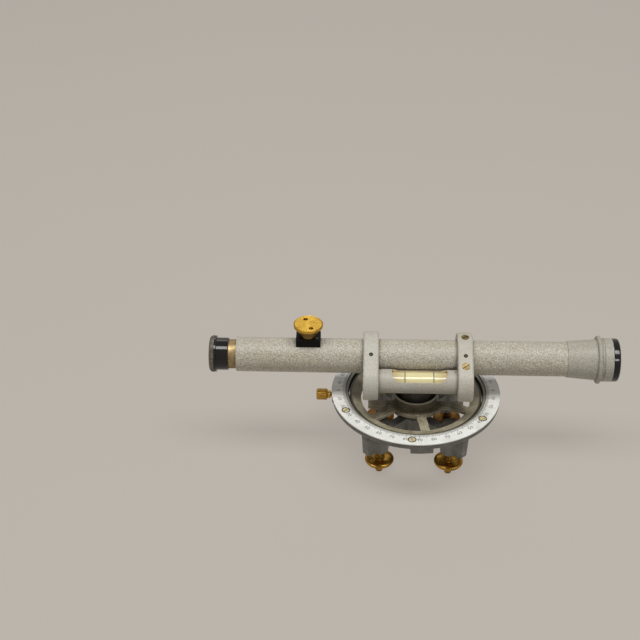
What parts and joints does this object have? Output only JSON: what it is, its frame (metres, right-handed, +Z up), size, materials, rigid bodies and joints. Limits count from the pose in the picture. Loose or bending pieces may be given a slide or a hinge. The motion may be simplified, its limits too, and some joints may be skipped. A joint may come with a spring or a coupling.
{
  "type": "surveying level",
  "caption": "Surveying level with a telescope and side-mounted spirit vial in two yokes, turning over a graduated circle on a four-legged base with levelling screws.",
  "frame": {"origin": "middle of the length and of the width, in the plane that the four feet stand on; the vertical axis of turning is 3.25 mm in front of it, at x = 0.00325, y = 0", "axes": "+X along the telescope towards its objective, +Z up, vial on the -Y side"},
  "size_m": [0.299, 0.126, 0.1157],
  "materials": {
    "scale_silver": "silvered, finely grained",
    "cast_grey": "smooth grey enamel, worn at its edges",
    "tube_grey": "grey textured enamel",
    "yoke_grey": "smooth light grey enamel",
    "limb_bronze": "dull bronze with worn silvering",
    "bright_brass": "turned and lacquered",
    "pale_brass": "tarnished pale brass",
    "steel": "machined",
    "black_lacquer": "glossy black lacquer",
    "dusty_black": "worn black with dust",
    "optical_glass": "coated optical glass",
    "vial_ivory": "milky yellowish glass",
    "vial_spirit": "pale yellow spirit"
  },
  "bodies": {
    "base": {"leveling_base": "cast_grey", "graduated_circle": "scale_silver", "circle_screws": "bright_brass", "centre_bush": "pale_brass", "tripod_socket": "pale_brass"},
    "alidade": {"spindle": "steel", "spindle_washer": "steel", "spindle_nut": "steel", "vernier_wheel": "limb_bronze", "hub_screws": "steel", "level_bar": "yoke_grey", "bar_screws": "steel", "yoke_left": "yoke_grey", "yoke_right": "yoke_grey", "yoke_lock_screws": "bright_brass", "yoke_grub_screws": "steel", "telescope_tube": "tube_grey", "rear_bush": "pale_brass", "objective_cell": "tube_grey", "objective_crown": "optical_glass", "objective_flint": "optical_glass", "objective_ring": "black_lacquer", "pinion_block": "black_lacquer", "block_screws": "dusty_black", "reticle_cell": "dusty_black", "reticle_glass": "optical_glass", "vial_tube": "yoke_grey", "vial_glass": "vial_ivory", "vial_liquid": "vial_spirit", "vial_plugs": "yoke_grey", "vial_adjusting_screws": "steel"},
    "focus_drive": {"focus_pinion": "pale_brass", "knob_skirt": "pale_brass", "knob_cap": "bright_brass"},
    "focus_carriage": {"focus_slide": "pale_brass", "focusing_lens": "optical_glass", "lens_retainer": "dusty_black"},
    "eyepiece_draw": {"eyepiece_tube": "pale_brass", "field_lens": "optical_glass"},
    "eyepiece_head": {"eyepiece_barrel": "black_lacquer", "eyecup": "dusty_black", "eye_lens": "optical_glass"},
    "clamp_plunger": {"clamp_pad": "pale_brass"},
    "clamp_knob": {"clamp_screw": "bright_brass"},
    "foot_1": {"foot_cup_1": "pale_brass"},
    "foot_screw_1": {"leveling_screw_1": "bright_brass"},
    "foot_2": {"foot_cup_2": "pale_brass"},
    "foot_screw_2": {"leveling_screw_2": "bright_brass"},
    "foot_3": {"foot_cup_3": "pale_brass"},
    "foot_screw_3": {"leveling_screw_3": "bright_brass"},
    "foot_4": {"foot_cup_4": "pale_brass"},
    "foot_screw_4": {"leveling_screw_4": "bright_brass"}
  },
  "joints": [
    {"name": "alidade_turn", "type": "hinge", "parent": "base", "child": "alidade", "pos_m": [0.00325, 0, 0.046], "axis": [0, 0, 1], "continuous": true},
    {"name": "focus_knob_turn", "type": "hinge", "parent": "alidade", "child": "focus_drive", "pos_m": [-0.07665, 0, 0.1], "axis": [0, 0, 1], "range_deg": [-290, 290]},
    {"name": "focus_travel", "type": "slide", "parent": "alidade", "child": "focus_carriage", "axis": [1, 0, 0], "range_m": [-0.015, 0.015]},
    {"name": "eyepiece_travel", "type": "slide", "parent": "alidade", "child": "eyepiece_draw", "axis": [1, 0, 0], "range_m": [-0.0025, 0.0025]},
    {"name": "eyepiece_turn", "type": "hinge", "parent": "eyepiece_draw", "child": "eyepiece_head", "pos_m": [-0.14175, 0, 0.0874], "axis": [1, 0, 0], "range_deg": [-102, 102]},
    {"name": "clamp_travel", "type": "slide", "parent": "base", "child": "clamp_plunger", "axis": [1, 0, 0], "range_m": [-0.0005, 0.00035]},
    {"name": "clamp_turn", "type": "hinge", "parent": "clamp_plunger", "child": "clamp_knob", "pos_m": [-0.06175, 0, 0.0513], "axis": [1, 0, 0], "range_deg": [-362, 254]},
    {"name": "foot_travel_1", "type": "slide", "parent": "base", "child": "foot_1", "axis": [0, 0, 1], "range_m": [-0.0025, 0.0025]},
    {"name": "foot_screw_turn_1", "type": "hinge", "parent": "foot_1", "child": "foot_screw_1", "pos_m": [0.0296, 0.02544, 0.01], "axis": [0, 0, 1], "range_deg": [-905, 905]},
    {"name": "foot_travel_2", "type": "slide", "parent": "base", "child": "foot_2", "axis": [0, 0, 1], "range_m": [-0.0025, 0.0025]},
    {"name": "foot_screw_turn_2", "type": "hinge", "parent": "foot_2", "child": "foot_screw_2", "pos_m": [-0.02219, 0.02635, 0.01], "axis": [0, 0, 1], "range_deg": [-905, 905]},
    {"name": "foot_travel_3", "type": "slide", "parent": "base", "child": "foot_3", "axis": [0, 0, 1], "range_m": [-0.0025, 0.0025]},
    {"name": "foot_screw_turn_3", "type": "hinge", "parent": "foot_3", "child": "foot_screw_3", "pos_m": [-0.0231, -0.02544, 0.01], "axis": [0, 0, 1], "range_deg": [-905, 905]},
    {"name": "foot_travel_4", "type": "slide", "parent": "base", "child": "foot_4", "axis": [0, 0, 1], "range_m": [-0.0025, 0.0025]},
    {"name": "foot_screw_turn_4", "type": "hinge", "parent": "foot_4", "child": "foot_screw_4", "pos_m": [0.02869, -0.02635, 0.01], "axis": [0, 0, 1], "range_deg": [-905, 905]}
  ],
  "couplings": [
    {"joint": "focus_knob_turn", "follows": "focus_travel", "rad_per_m": 333.33},
    {"joint": "eyepiece_turn", "follows": "eyepiece_travel", "rad_per_m": 699.3},
    {"joint": "clamp_turn", "follows": "clamp_travel", "rad_per_m": 12568},
    {"joint": "foot_screw_turn_1", "follows": "foot_travel_1", "rad_per_m": 6283.2},
    {"joint": "foot_screw_turn_2", "follows": "foot_travel_2", "rad_per_m": 6283.2},
    {"joint": "foot_screw_turn_3", "follows": "foot_travel_3", "rad_per_m": 6283.2},
    {"joint": "foot_screw_turn_4", "follows": "foot_travel_4", "rad_per_m": 6283.2}
  ]
}
